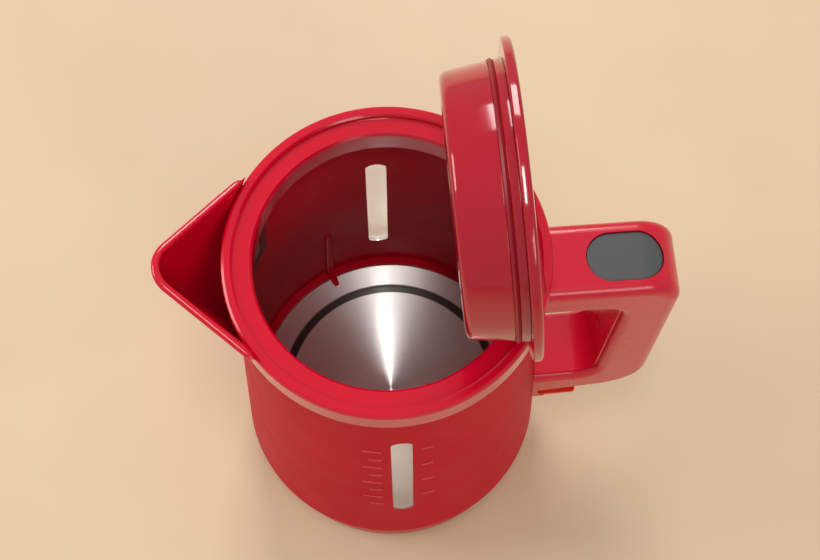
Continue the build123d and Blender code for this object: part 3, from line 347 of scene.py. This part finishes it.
def brushed_floor(name):
    """Steel brushed in circles, with painted shade darkening the groove round its middle disc."""
    # The second colour is painted shade, near-black, for the floor's groove.
    steel, groove_shade = (0.88, 0.88, 0.87), (0.10, 0.09, 0.08)
    material, nodes, links, shader = turned_metal(name, steel, 0.40, 9000.0, 6e-7)
    shader.inputs["Anisotropic"].default_value = 0.95
    shader.inputs["Anisotropic Rotation"].default_value = 0.25  # gloss spreads across the brushing
    radius = next(node for node in nodes if node.type == "VECT_MATH" and node.operation == "LENGTH")
    groove = nodes.new("ShaderNodeValToRGB")
    groove.color_ramp.interpolation = "LINEAR"
    reach = 0.1
    inner, outer = GROOVE
    stops = (
        (0.0, 0),
        (inner - 0.3 * MM, 0),
        (inner + 0.3 * MM, 1),
        (outer - 0.5 * MM, 1),
        (outer, 0),
    )
    for index, (at, dark) in enumerate(stops):
        ramp = groove.color_ramp.elements
        stop = ramp[index] if index < 2 else ramp.new(at / reach)
        stop.position, stop.color = at / reach, (dark, dark, dark, 1)
    scaled = nodes.new("ShaderNodeMath")
    scaled.operation = "DIVIDE"
    scaled.inputs[1].default_value = reach
    links.new(radius.outputs["Value"], scaled.inputs[0])
    links.new(scaled.outputs["Value"], groove.inputs["Fac"])
    # Painted shade: the groove's ring is mixed toward the near-black colour.
    shade = nodes.new("ShaderNodeMix")
    shade.data_type = "RGBA"
    shade.inputs["B"].default_value = (*groove_shade, 1)
    links.new(shader.inputs["Base Color"].links[0].from_socket, shade.inputs["A"])
    links.new(groove.outputs["Color"], shade.inputs["Factor"])
    links.new(shade.outputs["Result"], shader.inputs["Base Color"])
    tangent = nodes.new("ShaderNodeTangent")
    tangent.direction_type = "RADIAL"
    tangent.axis = "Z"
    links.new(tangent.outputs["Tangent"], shader.inputs["Tangent"])
    return material


def drawn_metal(name, colour, rough):
    """Drawn wire, strip or plated screws: bright metal with small scuffs."""
    material, nodes, links, shader = empty_material(name)
    scuff = object_noise(nodes, links, 650.0, 6.0, (1, 1, 0.25))
    links.new(tinted(nodes, links, scuff, colour, 0.14), shader.inputs["Base Color"])
    links.new(ranged(nodes, links, scuff, rough * 0.7, rough * 1.4), shader.inputs["Roughness"])
    shader.inputs["Metallic"].default_value = 1.0
    relief(nodes, links, scuff, shader, 6e-6)
    return material


def woven_steel(name):
    """Fine woven mesh: two crossed sets of wires as relief, with painted shade darkening the gaps between
    them.
    """
    material, nodes, links, shader = empty_material(name)
    place = nodes.new("ShaderNodeTexCoord")
    heights = []
    for direction in ("Y", "Z"):
        wires = nodes.new("ShaderNodeTexWave")
        wires.wave_type = "BANDS"
        wires.bands_direction = direction
        wires.inputs["Scale"].default_value = 300.0
        links.new(place.outputs["Object"], wires.inputs["Vector"])
        heights.append(wires.outputs["Fac"])
    weave = nodes.new("ShaderNodeMath")
    weave.operation = "MAXIMUM"
    links.new(heights[0], weave.inputs[0])
    links.new(heights[1], weave.inputs[1])
    # Painted shade: the steel's colour darkens between the wires, where the relief is low.
    steel = tinted(nodes, links, weave.outputs["Value"], (0.42, 0.41, 0.4), 0.5)
    links.new(steel, shader.inputs["Base Color"])
    shader.inputs["Metallic"].default_value = 1.0
    shader.inputs["Roughness"].default_value = 0.35
    relief(nodes, links, weave.outputs["Value"], shader, 1.2e-4)
    return material


def clear_moulding(name):
    """Clear window plastic, a little milky, with faint flow lines."""
    material, nodes, links, shader = empty_material(name)
    flow = object_noise(nodes, links, 60.0, 3.0, (1, 1, 0.15))
    links.new(tinted(nodes, links, flow, (0.97, 0.96, 0.94), 0.03), shader.inputs["Base Color"])
    links.new(ranged(nodes, links, flow, 0.10, 0.22), shader.inputs["Roughness"])
    shader.inputs["Transmission Weight"].default_value = 0.95
    shader.inputs["IOR"].default_value = 1.49
    return material


def soft_rubber(name, colour, rough=0.6):
    """Moulded rubber or silicone: matt, faintly mottled."""
    return moulded_plastic(name, colour, rough, 0.0, 1800.0, 1.5e-5, 0.12)


def paint(material, *nodes):
    """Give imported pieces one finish."""
    for node in nodes:
        slots = frame["nodes"][node].data.materials
        slots.clear()
        slots.append(material)


# ---------------------------------------------------------------- mesh helpers
def rounded(points, radii, steps=8):
    """Outline whose inner corners are rounded, each by its own radius."""
    outline = [Vector(points[0])]
    for before, corner, after, radius in zip(points, points[1:], points[2:], radii):
        before, corner, after = Vector(before), Vector(corner), Vector(after)
        into, out = (before - corner).normalized(), (after - corner).normalized()
        half = into.angle(out) / 2
        reach = radius / tan(half)
        if radius <= 0 or reach < 1e-7:
            outline.append(corner)
            continue
        centre = corner + (into + out).normalized() * radius / sin(half)
        start, end = corner + into * reach - centre, corner + out * reach - centre
        sweep = start.angle(end)
        for step in range(steps + 1):
            share = step / steps
            outline.append(
                centre + (start * sin((1 - share) * sweep) + end * sin(share * sweep)) / sin(sweep)
            )
    outline.append(Vector(points[-1]))
    return outline


def lathe(mesh, outline, segments=128, place=Matrix.Identity(4), shape=None):
    """Turn an outline of (radius, height) points about the upright axis of a place."""
    rings = []
    for point in outline:
        radius, height = point[0], point[1]
        if radius < 1e-7:
            rings.append([mesh.verts.new((0, 0, height))])
            continue
        turns = (2 * pi * step / segments for step in range(segments))
        rings.append([mesh.verts.new((radius * cos(t), radius * sin(t), height)) for t in turns])
    new = [vertex for ring in rings for vertex in ring]
    for low, high in zip(rings, rings[1:]):
        for step in range(segments):
            corners = [low[step % len(low)], low[(step + 1) % len(low)]]
            corners += [high[(step + 1) % len(high)], high[step % len(high)]]
            corners = list(dict.fromkeys(corners))
            if len(corners) > 2:
                mesh.faces.new(corners)
    for vertex in new:
        if shape:
            vertex.co = shape(vertex.co)
        vertex.co = place @ vertex.co


def swept(mesh, path, section, closed=False, taper=0.0):
    """Sweep a section, given across and up, along a path that tapers at both ends."""
    rings = []
    walked = [0.0]
    for before, after in zip(path, path[1:]):
        walked.append(walked[-1] + (after - before).length)
    for index, point in enumerate(path):
        ahead = path[(index + 1) % len(path)] if closed else path[min(index + 1, len(path) - 1)]
        along = (ahead - path[index - 1 if closed else max(index - 1, 0)]).normalized()
        across = along.cross(Vector((0, 0, 1))).normalized()
        up = across.cross(along)
        to_end = min(walked[index], walked[-1] - walked[index])
        size = 1.0 if to_end >= taper else 0.25 + 0.75 * sqrt(to_end / taper * (2 - to_end / taper))
        rings.append([mesh.verts.new(point + (across * u + up * v) * size) for u, v in section])
    pairs = list(zip(rings, rings[1:])) + ([(rings[-1], rings[0])] if closed else [])
    count = len(section)
    for low, high in pairs:
        for step in range(count):
            after = (step + 1) % count
            mesh.faces.new((low[step], low[after], high[after], high[step]))
    if not closed:
        mesh.faces.new(rings[0][::-1])
        mesh.faces.new(rings[-1])


def oval(width, height, count=20):
    """Section of a rounded bead."""
    turns = (2 * pi * step / count for step in range(count))
    return [(cos(t) * width / 2, sin(t) * height / 2) for t in turns]


def finished(name, mesh, material, body, crease=35.0):
    """Object of a mesh, smooth but for its sharp corners, riding on a body."""
    bmesh.ops.recalc_face_normals(mesh, faces=mesh.faces)
    data = bpy.data.meshes.new(name)
    mesh.to_mesh(data)
    mesh.free()
    data.materials.append(material)
    data.shade_smooth()
    data.set_sharp_from_angle(angle=radians(crease))
    piece = bpy.data.objects.new(name, data)
    bpy.context.scene.collection.objects.link(piece)
    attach(piece, body)
    return piece


def outer_radius(height):
    """The jug's outer radius at a height above its foot."""
    low, high = FOOT_ROUNDING, RIM - FOOT - COLLAR_HEIGHT
    share = (height - low) / (high - low)
    return FOOT_RADIUS + share * (COLLAR_RADIUS - COLLAR_OVERHANG - FOOT_RADIUS)


def wall_point(angle, height, out=0.0):
    """Point on the jug's outer wall: angle from +X, height above the foot."""
    radius = outer_radius(height) + out
    return Vector((radius * cos(angle), radius * sin(angle), FOOT + height))


def stroke(mesh, middle, height, start, length, thickness):
    """Raised stroke that follows the wall, level, from a distance beside a direction."""
    steps = 6
    grid = []
    for step in range(steps + 1):
        shift = (start + length * step / steps) / FOOT_RADIUS
        ends = []
        for half, out in ((-0.5, -0.2), (-0.35, 1), (0.35, 1), (0.5, -0.2)):
            point = wall_point(middle - shift, height + half * MM, thickness * out)
            ends.append(mesh.verts.new(point))
        grid.append(ends)
    for before, after in zip(grid, grid[1:]):
        for k in range(4):
            mesh.faces.new((before[k], after[k], after[(k + 1) % 4], before[(k + 1) % 4]))
    mesh.faces.new(grid[0])
    mesh.faces.new(grid[-1][::-1])


# ---------------------------------------------------------------- operators
class KETTLE_OT_jug(Operator):
    """Finish the jug: wall, collar, windows and steel floor"""

    bl_idname = "kettle.jug"
    bl_label = "Jug"

    def execute(self, context):
        colours = context.scene.kettle_colours
        wall = moulded_plastic("jug_red", colours.body_red, 0.5, depth=5e-7, shine=0.08)
        paint(wall, "jug_body")
        paint(moulded_plastic("collar_gloss", colours.collar_red, 0.16, 0.25), "collar_ring")
        paint(clear_moulding("window_clear"), "window_near", "window_far")
        paint(brushed_floor("floor_steel"), "heater_plate")
        return {"FINISHED"}


class KETTLE_OT_spout_lip(Operator):
    """Add the rounded lip along the spout's edge"""

    bl_idname = "kettle.spout_lip"
    bl_label = "Spout lip"

    def execute(self, context):
        sizes = context.scene.kettle_sizes
        colours = context.scene.kettle_colours
        # Middle line of the spout's wall in plan: a straight side, the round nose, the other side.
        nose = SPOUT_NOSE - SPOUT_WALL / 2
        slope = SPOUT_HALF_ANGLE
        centre_x = NOSE_X - SPOUT_WALL / 2 - nose
        corner_x = centre_x + nose / sin(slope)
        touch_x = centre_x + nose * sin(slope)
        start_x = COLLAR_RADIUS * 0.78
        steps = 40
        plan = []
        for step in range(steps):
            x = start_x + (touch_x - start_x) * step / (steps - 1)
            plan.append((x, (corner_x - x) * tan(slope)))
        turn = pi / 2 - slope
        for step in range(1, steps):
            t = turn - 2 * turn * step / steps
            plan.append((centre_x + nose * cos(t), nose * sin(t)))
        plan += [(x, -y) for x, y in reversed(plan[:steps])]
        # The lip rises to the nose, sits a little into the wall, and starts outside the collar.
        rise_rate = (NOSE_TOP - RIM) / (NOSE_X - SPOUT_ROOT)
        level = RIM - 0.3 * MM
        path = [Vector((-x, y, level + (x - SPOUT_ROOT) * rise_rate)) for x, y in plan]
        path = [point for point in path if point.xy.length > COLLAR_RADIUS + 0.4 * MM]
        mesh = bmesh.new()
        swept(mesh, path, oval(sizes.lip_width, sizes.lip_height), taper=5 * MM)
        gloss = moulded_plastic("lip_gloss", colours.collar_red, 0.16, 0.25)
        finished("spout_lip", mesh, gloss, "jug")
        return {"FINISHED"}


class KETTLE_OT_wall_clip(Operator):
    """Add the slim rib inside the wall, with the clip that reaches over the steel floor"""

    bl_idname = "kettle.wall_clip"
    bl_label = "Wall clip"

    def execute(self, context):
        sizes = context.scene.kettle_sizes
        red = moulded_plastic("clip_red", context.scene.kettle_colours.body_red, 0.36, shine=0.07)
        bottom, top = FLOOR_TOP + 0.3 * MM, FLOOR_TOP + sizes.clip_height
        half = sizes.clip_width / 2
        # From the foot's tip up to the feathered top: inset from the wall, height, half width.
        stations = (
            (7.5 * MM, bottom, 0.4 * half),
            (7.2 * MM, bottom + 0.8 * MM, 0.7 * half),
            (3.0 * MM, bottom + 2.2 * MM, half),
            (1.1 * MM, bottom + 7 * MM, half),
            (0.9 * MM, top - 8 * MM, 0.8 * half),
            (0.1 * MM, top, 0.5 * half),
        )
        angle = radians(112)
        clip = bmesh.new()
        rings = []
        for inset, height, wide in stations:
            wall = outer_radius(height - FOOT) - BODY_WALL
            ring = []
            for across, deep in ((-1, 0), (-0.75, 1), (0.75, 1), (1, 0)):
                radius = wall + 0.4 * MM - (inset + 0.4 * MM) * deep
                turn = angle + across * wide / wall
                ring.append(clip.verts.new((radius * cos(turn), radius * sin(turn), height)))
            rings.append(ring)
        for low, high in zip(rings, rings[1:]):
            for step in range(4):
                after = (step + 1) % 4
                clip.faces.new((low[step], low[after], high[after], high[step]))
        clip.faces.new(rings[0][::-1])
        clip.faces.new(rings[-1])
        bmesh.ops.bevel(
            clip, geom=clip.edges[:], offset=0.15 * MM, segments=2, affect="EDGES", profile=0.5
        )
        finished("wall_clip", clip, red, "jug")
        return {"FINISHED"}


class KETTLE_OT_lid(Operator):
    """Make the lid's domed cover and rounded plug"""

    bl_idname = "kettle.lid"
    bl_label = "Lid"

    def execute(self, context):
        sizes = context.scene.kettle_sizes
        gloss = moulded_plastic("lid_gloss", context.scene.kettle_colours.lid_red, 0.10, 0.5)
        paint(gloss, "lid_cover", "lid_plug")
        low, high = box_in("lid_plug", LID)
        seal_low, seal_high = box_in("lid_seal", LID)
        cover_low, cover_high = box_in("lid_cover", LID)
        top_radius, top, foot = high.y, cover_low.z, low.z

        def radius_at(height):
            """The plug's drafted radius at a height in the lid's frame."""
            return top_radius - PLUG_DRAFT * (top - height) / (top - foot)

        groove, play = 0.9 * MM, 0.1 * MM  # seal groove's depth, and its play beside the seal
        dish = 0.5 * MM  # plug's middle, set in from its underside
        outline = rounded(
            [
                (0, foot + dish),
                (top_radius * 0.74, foot + dish),
                (top_radius * 0.80, foot),
                (radius_at(foot), foot),
                (radius_at(seal_low.z), seal_low.z - play),
                (radius_at(seal_low.z) - groove, seal_low.z - play),
                (radius_at(seal_high.z) - groove, seal_high.z + play),
                (radius_at(seal_high.z), seal_high.z + play),
                (top_radius, top),
                (0, top),
            ],
            [4 * MM, 4 * MM, sizes.plug_rounding, 0.3 * MM, 0, 0, 0.3 * MM, 0.3 * MM],
        )
        plug = bmesh.new()
        lathe(plug, outline, 160, LID)
        bore, outside, near_end, far_end = BARREL
        corners = [(bore, near_end), (outside, near_end), (outside, far_end), (bore, far_end)]
        barrel = rounded(corners, [0.7 * MM, 0.7 * MM])
        for side in (-1, 1):
            seat = LID @ Matrix.Translation((HINGE.x, 0, 0)) @ Matrix.Rotation(-side * pi / 2, 4, "X")
            lathe(plug, barrel, 48, seat)
        piece = finished("lid_dish", plug, gloss, "lid")
        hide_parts("lid_plug")

        edge = cover_high.y
        dome = rounded(
            [
                (0, cover_low.z),
                (edge, cover_low.z),
                (edge, cover_high.z - 2.2 * MM),
                (edge * 0.55, cover_high.z - 0.7 * MM),
                (0, cover_high.z),
            ],
            [0.6 * MM, sizes.cover_rounding, 60 * MM],
        )
        straight = cover_high.x

        def cut_straight(point):
            """Bring what lies beyond the hinge's straight edge back to it."""
            return Vector((min(point.x, straight), point.y, point.z))

        cover = bmesh.new()
        lathe(cover, dome, 200, LID, cut_straight)
        merge = 0.001 * MM
        bmesh.ops.remove_doubles(cover, verts=cover.verts, dist=merge)
        bmesh.ops.dissolve_degenerate(cover, edges=cover.edges, dist=merge)
        piece = finished("lid_top", cover, gloss, "lid")
        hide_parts("lid_cover")
        return {"FINISHED"}


class KETTLE_OT_level_marks(Operator):
    """Add plain raised strokes beside the windows"""

    bl_idname = "kettle.level_marks"
    bl_label = "Level marks"

    def execute(self, context):
        sizes = context.scene.kettle_sizes
        pale = moulded_plastic("mark_print", (0.62, 0.05, 0.06), 0.45)
        low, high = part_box("window_near")
        bottom, top = low.z - FOOT + 10 * MM, high.z - FOOT - 12 * MM
        for side_name, middle in (("near", -pi / 2), ("far", pi / 2)):
            marks = bmesh.new()
            for row in range(sizes.level_marks):
                height = bottom + (top - bottom) * row / (sizes.level_marks - 1)
                stroke(marks, middle, height, 9 * MM, (9 if row % 2 else 6) * MM, sizes.mark_relief)
                if row % 2:
                    stroke(marks, middle, height, -9 * MM, -5 * MM, sizes.mark_relief)
            finished(f"level_marks_{side_name}", marks, pale, "jug")
        return {"FINISHED"}


class KETTLE_OT_handle(Operator):
    """Finish the handle, its button and the switch lever"""

    bl_idname = "kettle.handle"
    bl_label = "Handle"

    def execute(self, context):
        colours = context.scene.kettle_colours
        shell = moulded_plastic("handle_satin", colours.handle_red, 0.26, 0.25)
        paint(shell, "handle_shell", "handle_cover")
        soft = moulded_plastic("button_soft", colours.button_grey, 0.42, 0.1, 2400.0, 1.2e-5, 0.1)
        paint(soft, "release_button")
        paint(moulded_plastic("switch_gloss", (0.75, 0.03, 0.01), 0.2, 0.4), "switch_lever")
        return {"FINISHED"}


class KETTLE_OT_inner_parts(Operator):
    """Finish the pieces under the floor, in the handle and in the lid"""

    bl_idname = "kettle.inner_parts"
    bl_label = "Inner parts"

    def execute(self, context):
        plated = drawn_metal("plated_steel", (0.66, 0.66, 0.67), 0.25)
        paint(plated, "hinge_pin", "lid_spring", "latch_spring", "switch_pin")
        paint(plated, "bottom_screws", "base_screws", "handle_screws")
        silicone = soft_rubber("silicone_pale", (0.70, 0.69, 0.66), 0.5)
        paint(silicone, "plate_seal", "steam_tube")
        paint(soft_rubber("seal_red", (0.30, 0.004, 0.016), 0.4), "lid_seal")
        pale = moulded_plastic("glass_filled", (0.66, 0.64, 0.58), 0.5, 0.0, 500.0, 3e-5)
        paint(pale, "clamp_ring", "control_housing", "switch_block", "latch_slider", "terminal_block")
        paint(turned_metal("spreader_face", (0.75, 0.75, 0.76), 0.35, 2500.0)[0], "heat_spreader")
        paint(drawn_metal("element_tube", (0.50, 0.49, 0.47), 0.5), "heating_element")
        paint(drawn_metal("rolled_bimetal", (0.66, 0.50, 0.30), 0.3), "cutout_discs", "steam_bimetal")
        paint(turned_metal("turned_brass", (0.76, 0.57, 0.25), 0.28, 6000.0)[0], "socket_contacts")
        paint(drawn_metal("brass_strip", (0.76, 0.57, 0.25), 0.3), "base_contacts")
        paint(frame["nodes"]["base_contacts"].data.materials[0], "element_pins", "terminal_screws")
        paint(soft_rubber("wire_sleeve", (0.05, 0.10, 0.34), 0.45), "switch_wires", "base_wires")
        dark = moulded_plastic("filter_red", (0.12, 0.001, 0.006), 0.35, 0.1)
        paint(dark, "filter_frame")
        paint(woven_steel("filter_weave"), "filter_mesh")
        return {"FINISHED"}


class KETTLE_OT_latch_spring(Operator):
    """Wind the latch's return spring as one fixed coil; the real spring shortens as the latch slides back
    """

    bl_idname = "kettle.latch_spring"
    bl_label = "Latch spring"

    def execute(self, context):
        sizes = context.scene.kettle_sizes
        low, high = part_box("latch_spring")
        wire = sizes.spring_wire
        radius = (high.y - low.y - wire) / 2
        length = high.x - low.x - wire
        turns, steps = sizes.spring_turns, 20
        seat = Matrix.Translation((low.x + wire / 2, (low.y + high.y) / 2, (low.z + high.z) / 2))
        seat @= Matrix.Rotation(pi / 2, 4, "Y")
        path = []
        for step in range(turns * steps + 1):
            turn = 2 * pi * step / steps
            rise = length * step / (turns * steps)
            path.append(Vector((radius * cos(turn), radius * sin(turn), rise)))
        coil = bmesh.new()
        swept(coil, path, oval(wire, wire, 8))
        bmesh.ops.transform(coil, matrix=seat, verts=coil.verts)
        steel = drawn_metal("spring_steel", (0.66, 0.66, 0.67), 0.25)
        piece = finished("latch_coil", coil, steel, "jug", 60.0)
        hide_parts("latch_spring")
        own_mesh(piece)
        return {"FINISHED"}


class KETTLE_OT_power_base(Operator):
    """Finish the power base and the jug's underside"""

    bl_idname = "kettle.power_base"
    bl_label = "Power base"

    def execute(self, context):
        colours = context.scene.kettle_colours
        paint(moulded_plastic("base_satin", colours.body_red, 0.28, 0.2), "base_cover")
        black = moulded_plastic("black_grained", (0.025, 0.025, 0.027), 0.45, 0.0, 1300.0, 4e-5)
        paint(black, "base_plate", "base_connector", "connector_socket", "bottom_cover")
        paint(soft_rubber("foot_rubber", (0.03, 0.03, 0.03), 0.7), "foot_ring", "cord_gland")
        return {"FINISHED"}


class KETTLE_OT_stage(Operator):
    """Set the floor, the soft lights and the camera"""

    bl_idname = "kettle.stage"
    bl_label = "Stage"

    def execute(self, context):
        scene = context.scene
        floor_mesh = bmesh.new()
        bmesh.ops.create_grid(floor_mesh, x_segments=1, y_segments=1, size=3.0)
        data = bpy.data.meshes.new("stage_floor")
        floor_mesh.to_mesh(data)
        floor_mesh.free()
        data.materials.append(
            moulded_plastic("floor_paint", scene.kettle_colours.floor, 0.5, 0.0, 300.0, 2e-5, 0.02)
        )
        floor = bpy.data.objects.new("stage_floor", data)
        scene.collection.objects.link(floor)

        world = bpy.data.worlds.new("studio")
        world.use_nodes = True
        sky = world.node_tree.nodes["Background"]
        sky.inputs["Color"].default_value = (1.0, 0.95, 0.88, 1)
        sky.inputs["Strength"].default_value = 0.42
        scene.world = world
        for name, place, aim, size, power in (
            ("overhead_light", (0, -0.30, 1.65), (0, 0, 0.1), (0.10, 0.6), 4.5),
            ("window_light", (0.12, 1.35, 1.4), (0, 0, 0.15), (0.7, 0.8), 16.0),
            ("side_light", (-1.4, 0.3, 1.1), (0, 0, 0.1), (0.7, 0.7), 9.0),
            ("front_light", (0.6, -1.3, 1.2), (0, 0, 0.15), (0.8, 0.6), 6.0),
        ):
            lamp = bpy.data.lights.new(name, "AREA")
            lamp.shape = "RECTANGLE"
            lamp.size, lamp.size_y = size
            lamp.energy = power
            lamp.color = (1.0, 0.97, 0.93)
            holder = bpy.data.objects.new(name, lamp)
            holder.location = place
            toward = Vector(aim) - Vector(place)
            holder.rotation_euler = toward.to_track_quat("-Z", "Y").to_euler()
            scene.collection.objects.link(holder)

        rise, turn = radians(70.72), radians(-5.28)  # the camera's elevation and azimuth
        distance, shift_right, shift_up = 750.4 * MM, 9.03 * MM, -8.63 * MM
        back = Vector((sin(turn) * cos(rise), -cos(turn) * cos(rise), sin(rise)))
        right = Vector((cos(turn), sin(turn), 0))
        up = back.cross(right)
        rim_centre = Vector((0, 0, RIM))
        eye = rim_centre + distance * back + shift_right * right + shift_up * up
        lens = bpy.data.cameras.new("view_camera")
        lens.lens = 85.07
        lens.sensor_width = 36.0
        camera = bpy.data.objects.new("view_camera", lens)
        camera.matrix_world = Matrix.Translation(eye) @ Matrix((right, up, back)).transposed().to_4x4()
        scene.collection.objects.link(camera)
        scene.camera = camera
        scene.view_settings.view_transform = "Standard"
        return {"FINISHED"}


class KETTLE_PT_panel(Panel):
    """Kettle finishes in the 3D view's sidebar"""

    bl_idname = "KETTLE_PT_panel"
    bl_label = "Kettle"
    bl_space_type = "VIEW_3D"
    bl_region_type = "UI"
    bl_category = "Kettle"

    def draw(self, context):
        for settings in (context.scene.kettle_sizes, context.scene.kettle_colours):
            for name in settings.__annotations__:
                self.layout.prop(settings, name)
        for operator in OPERATORS:
            self.layout.operator(operator.bl_idname)


OPERATORS = (
    KETTLE_OT_stage,
    KETTLE_OT_jug,
    KETTLE_OT_spout_lip,
    KETTLE_OT_wall_clip,
    KETTLE_OT_lid,
    KETTLE_OT_level_marks,
    KETTLE_OT_handle,
    KETTLE_OT_inner_parts,
    KETTLE_OT_latch_spring,
    KETTLE_OT_power_base,
)
CLASSES = (KettleSizes, KettleColours, *OPERATORS, KETTLE_PT_panel)


def register():
    for cls in CLASSES:
        bpy.utils.register_class(cls)
    bpy.types.Scene.kettle_sizes = PointerProperty(type=KettleSizes)
    bpy.types.Scene.kettle_colours = PointerProperty(type=KettleColours)


def unregister():
    del bpy.types.Scene.kettle_colours
    del bpy.types.Scene.kettle_sizes
    for cls in reversed(CLASSES):
        bpy.utils.unregister_class(cls)


def main():
    register()
    for operator in OPERATORS:
        module, name = operator.bl_idname.split(".")
        getattr(getattr(bpy.ops, module), name)()


if __name__ == "__main__":
    main()
